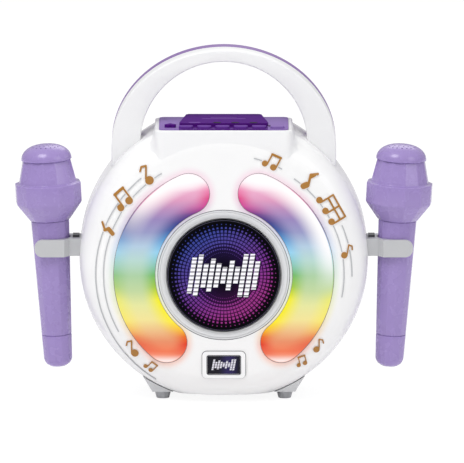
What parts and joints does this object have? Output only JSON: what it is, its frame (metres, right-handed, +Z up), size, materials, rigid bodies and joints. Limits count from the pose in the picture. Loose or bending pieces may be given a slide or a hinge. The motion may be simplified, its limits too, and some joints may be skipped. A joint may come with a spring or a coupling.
{
  "type": "karaoke machine",
  "caption": "Drum-shaped toy karaoke machine with a round disc tray, crescent light lenses, a key panel, a carrying handle and lift-out microphones in side clips.",
  "frame": {"origin": "on the table, under the middle of the whole machine's box", "axes": "+X to the machine's right as its user sees it, the disc tray faces -Y, +Z up"},
  "size_m": [0.3216, 0.0984, 0.27],
  "materials": {
    "shell_white": "moulded ABS, high gloss",
    "housing_white": "moulded ABS, satin gloss",
    "panel_lavender": "moulded ABS, satin gloss",
    "plate_purple": "moulded ABS, gloss",
    "key_purple": "moulded ABS, gloss",
    "handle_white": "moulded ABS, satin gloss",
    "handle_lavender": "moulded ABS, satin gloss",
    "lens": "translucent acrylic, lit from behind",
    "tray_grey": "moulded ABS, satin",
    "hub_grey": "acetal, matt",
    "disc_print": "printed polycarbonate, gloss",
    "bezel_white": "moulded ABS, gloss",
    "window_black": "smoked acrylic, gloss",
    "board_green": "solder-masked circuit board",
    "board_white": "white circuit board with lamps",
    "clip_grey": "moulded ABS, satin gloss",
    "lock_dark": "acetal, matt",
    "mic_lavender": "moulded ABS, satin gloss",
    "steel": "plated steel",
    "cell_blue": "heat-shrink sleeve",
    "bracket_grey": "moulded ABS, satin",
    "pad_grey": "soft grey rubber",
    "speaker_black": "paper cone in a pressed frame",
    "grille_white": "moulded ABS, satin gloss",
    "door_white": "moulded ABS, satin gloss",
    "port_dark": "moulded nylon, matt",
    "line_white": "raised line on the shell, gloss",
    "note_gold": "gold-coloured raised ornament"
  },
  "bodies": {
    "cabinet": {"front_shell": "shell_white", "back_shell": "shell_white", "top_housing": "housing_white", "key_panel": "panel_lavender", "key_plate": "plate_purple", "handle_front": "handle_white", "handle_back": "handle_lavender", "lens_left": "lens", "lens_right": "lens", "disc_tray": "tray_grey", "display_bezel": "bezel_white", "display_window": "window_black", "key_board": "board_green", "display_board": "board_green", "main_board": "board_green", "led_board_left": "board_white", "led_board_right": "board_white", "clip_left": "clip_grey", "clip_right": "clip_grey", "clip_locks": "lock_dark", "spindle_motor": "steel", "battery_contacts": "steel", "shell_screws": "steel", "battery_cell": "cell_blue", "foot_brackets": "bracket_grey", "foot_pads": "pad_grey", "speaker": "speaker_black", "speaker_grille": "grille_white", "charge_port": "port_dark", "staff_lines": "line_white", "gold_notes": "note_gold"},
    "spindle": {"spindle_hub": "hub_grey"},
    "disc": {"disc": "disc_print"},
    "battery_door": {"battery_door": "door_white"},
    "power_slider": {"power_slider": "port_dark"},
    "mic_left": {"mic_left_grille": "mic_lavender", "mic_left_head": "mic_lavender", "mic_left_barrel": "mic_lavender", "mic_left_cap": "mic_lavender", "mic_left_capsule": "steel", "mic_left_cell": "cell_blue"},
    "mic_right": {"mic_right_grille": "mic_lavender", "mic_right_head": "mic_lavender", "mic_right_barrel": "mic_lavender", "mic_right_cap": "mic_lavender", "mic_right_capsule": "steel", "mic_right_cell": "cell_blue"},
    "key_light": {"key_light": "key_purple"},
    "key_previous": {"key_previous": "key_purple"},
    "key_play": {"key_play": "key_purple"},
    "key_next": {"key_next": "key_purple"},
    "key_volume_down": {"key_volume_down": "key_purple"},
    "key_volume_up": {"key_volume_up": "key_purple"},
    "heart_key": {"heart_key": "key_purple"}
  },
  "joints": [
    {"name": "disc_spin", "type": "hinge", "parent": "cabinet", "child": "spindle", "pos_m": [0, -0.04475, 0.101], "axis": [0, -1, 0], "continuous": true},
    {"name": "disc_off", "type": "slide", "parent": "spindle", "child": "disc", "axis": [0, -1, 0], "range_m": [0, 0.03]},
    {"name": "mic_left_out", "type": "slide", "parent": "cabinet", "child": "mic_left", "axis": [-0.0541, 0, 0.9985], "range_m": [0, 0.11]},
    {"name": "mic_right_out", "type": "slide", "parent": "cabinet", "child": "mic_right", "axis": [0.0541, 0, 0.9985], "range_m": [0, 0.11]},
    {"name": "battery_door_off", "type": "slide", "parent": "cabinet", "child": "battery_door", "axis": [0, 1, 0], "range_m": [0, 0.02]},
    {"name": "power_switch", "type": "slide", "parent": "cabinet", "child": "power_slider", "axis": [1, 0, 0], "range_m": [0, 0.004]},
    {"name": "key_light_press", "type": "slide", "parent": "cabinet", "child": "key_light", "axis": [0, 0, -1], "range_m": [0, 0.0008], "stiffness_N_per_m": 500, "springref_m": -0.001},
    {"name": "key_previous_press", "type": "slide", "parent": "cabinet", "child": "key_previous", "axis": [0, 0, -1], "range_m": [0, 0.0008], "stiffness_N_per_m": 500, "springref_m": -0.001},
    {"name": "key_play_press", "type": "slide", "parent": "cabinet", "child": "key_play", "axis": [0, 0, -1], "range_m": [0, 0.0008], "stiffness_N_per_m": 500, "springref_m": -0.001},
    {"name": "key_next_press", "type": "slide", "parent": "cabinet", "child": "key_next", "axis": [0, 0, -1], "range_m": [0, 0.0008], "stiffness_N_per_m": 500, "springref_m": -0.001},
    {"name": "key_volume_down_press", "type": "slide", "parent": "cabinet", "child": "key_volume_down", "axis": [0, 0, -1], "range_m": [0, 0.0008], "stiffness_N_per_m": 500, "springref_m": -0.001},
    {"name": "key_volume_up_press", "type": "slide", "parent": "cabinet", "child": "key_volume_up", "axis": [0, 0, -1], "range_m": [0, 0.0008], "stiffness_N_per_m": 500, "springref_m": -0.001},
    {"name": "heart_key_press", "type": "slide", "parent": "cabinet", "child": "heart_key", "axis": [0, 0, -1], "range_m": [0, 0.0008], "stiffness_N_per_m": 500, "springref_m": -0.001}
  ]
}
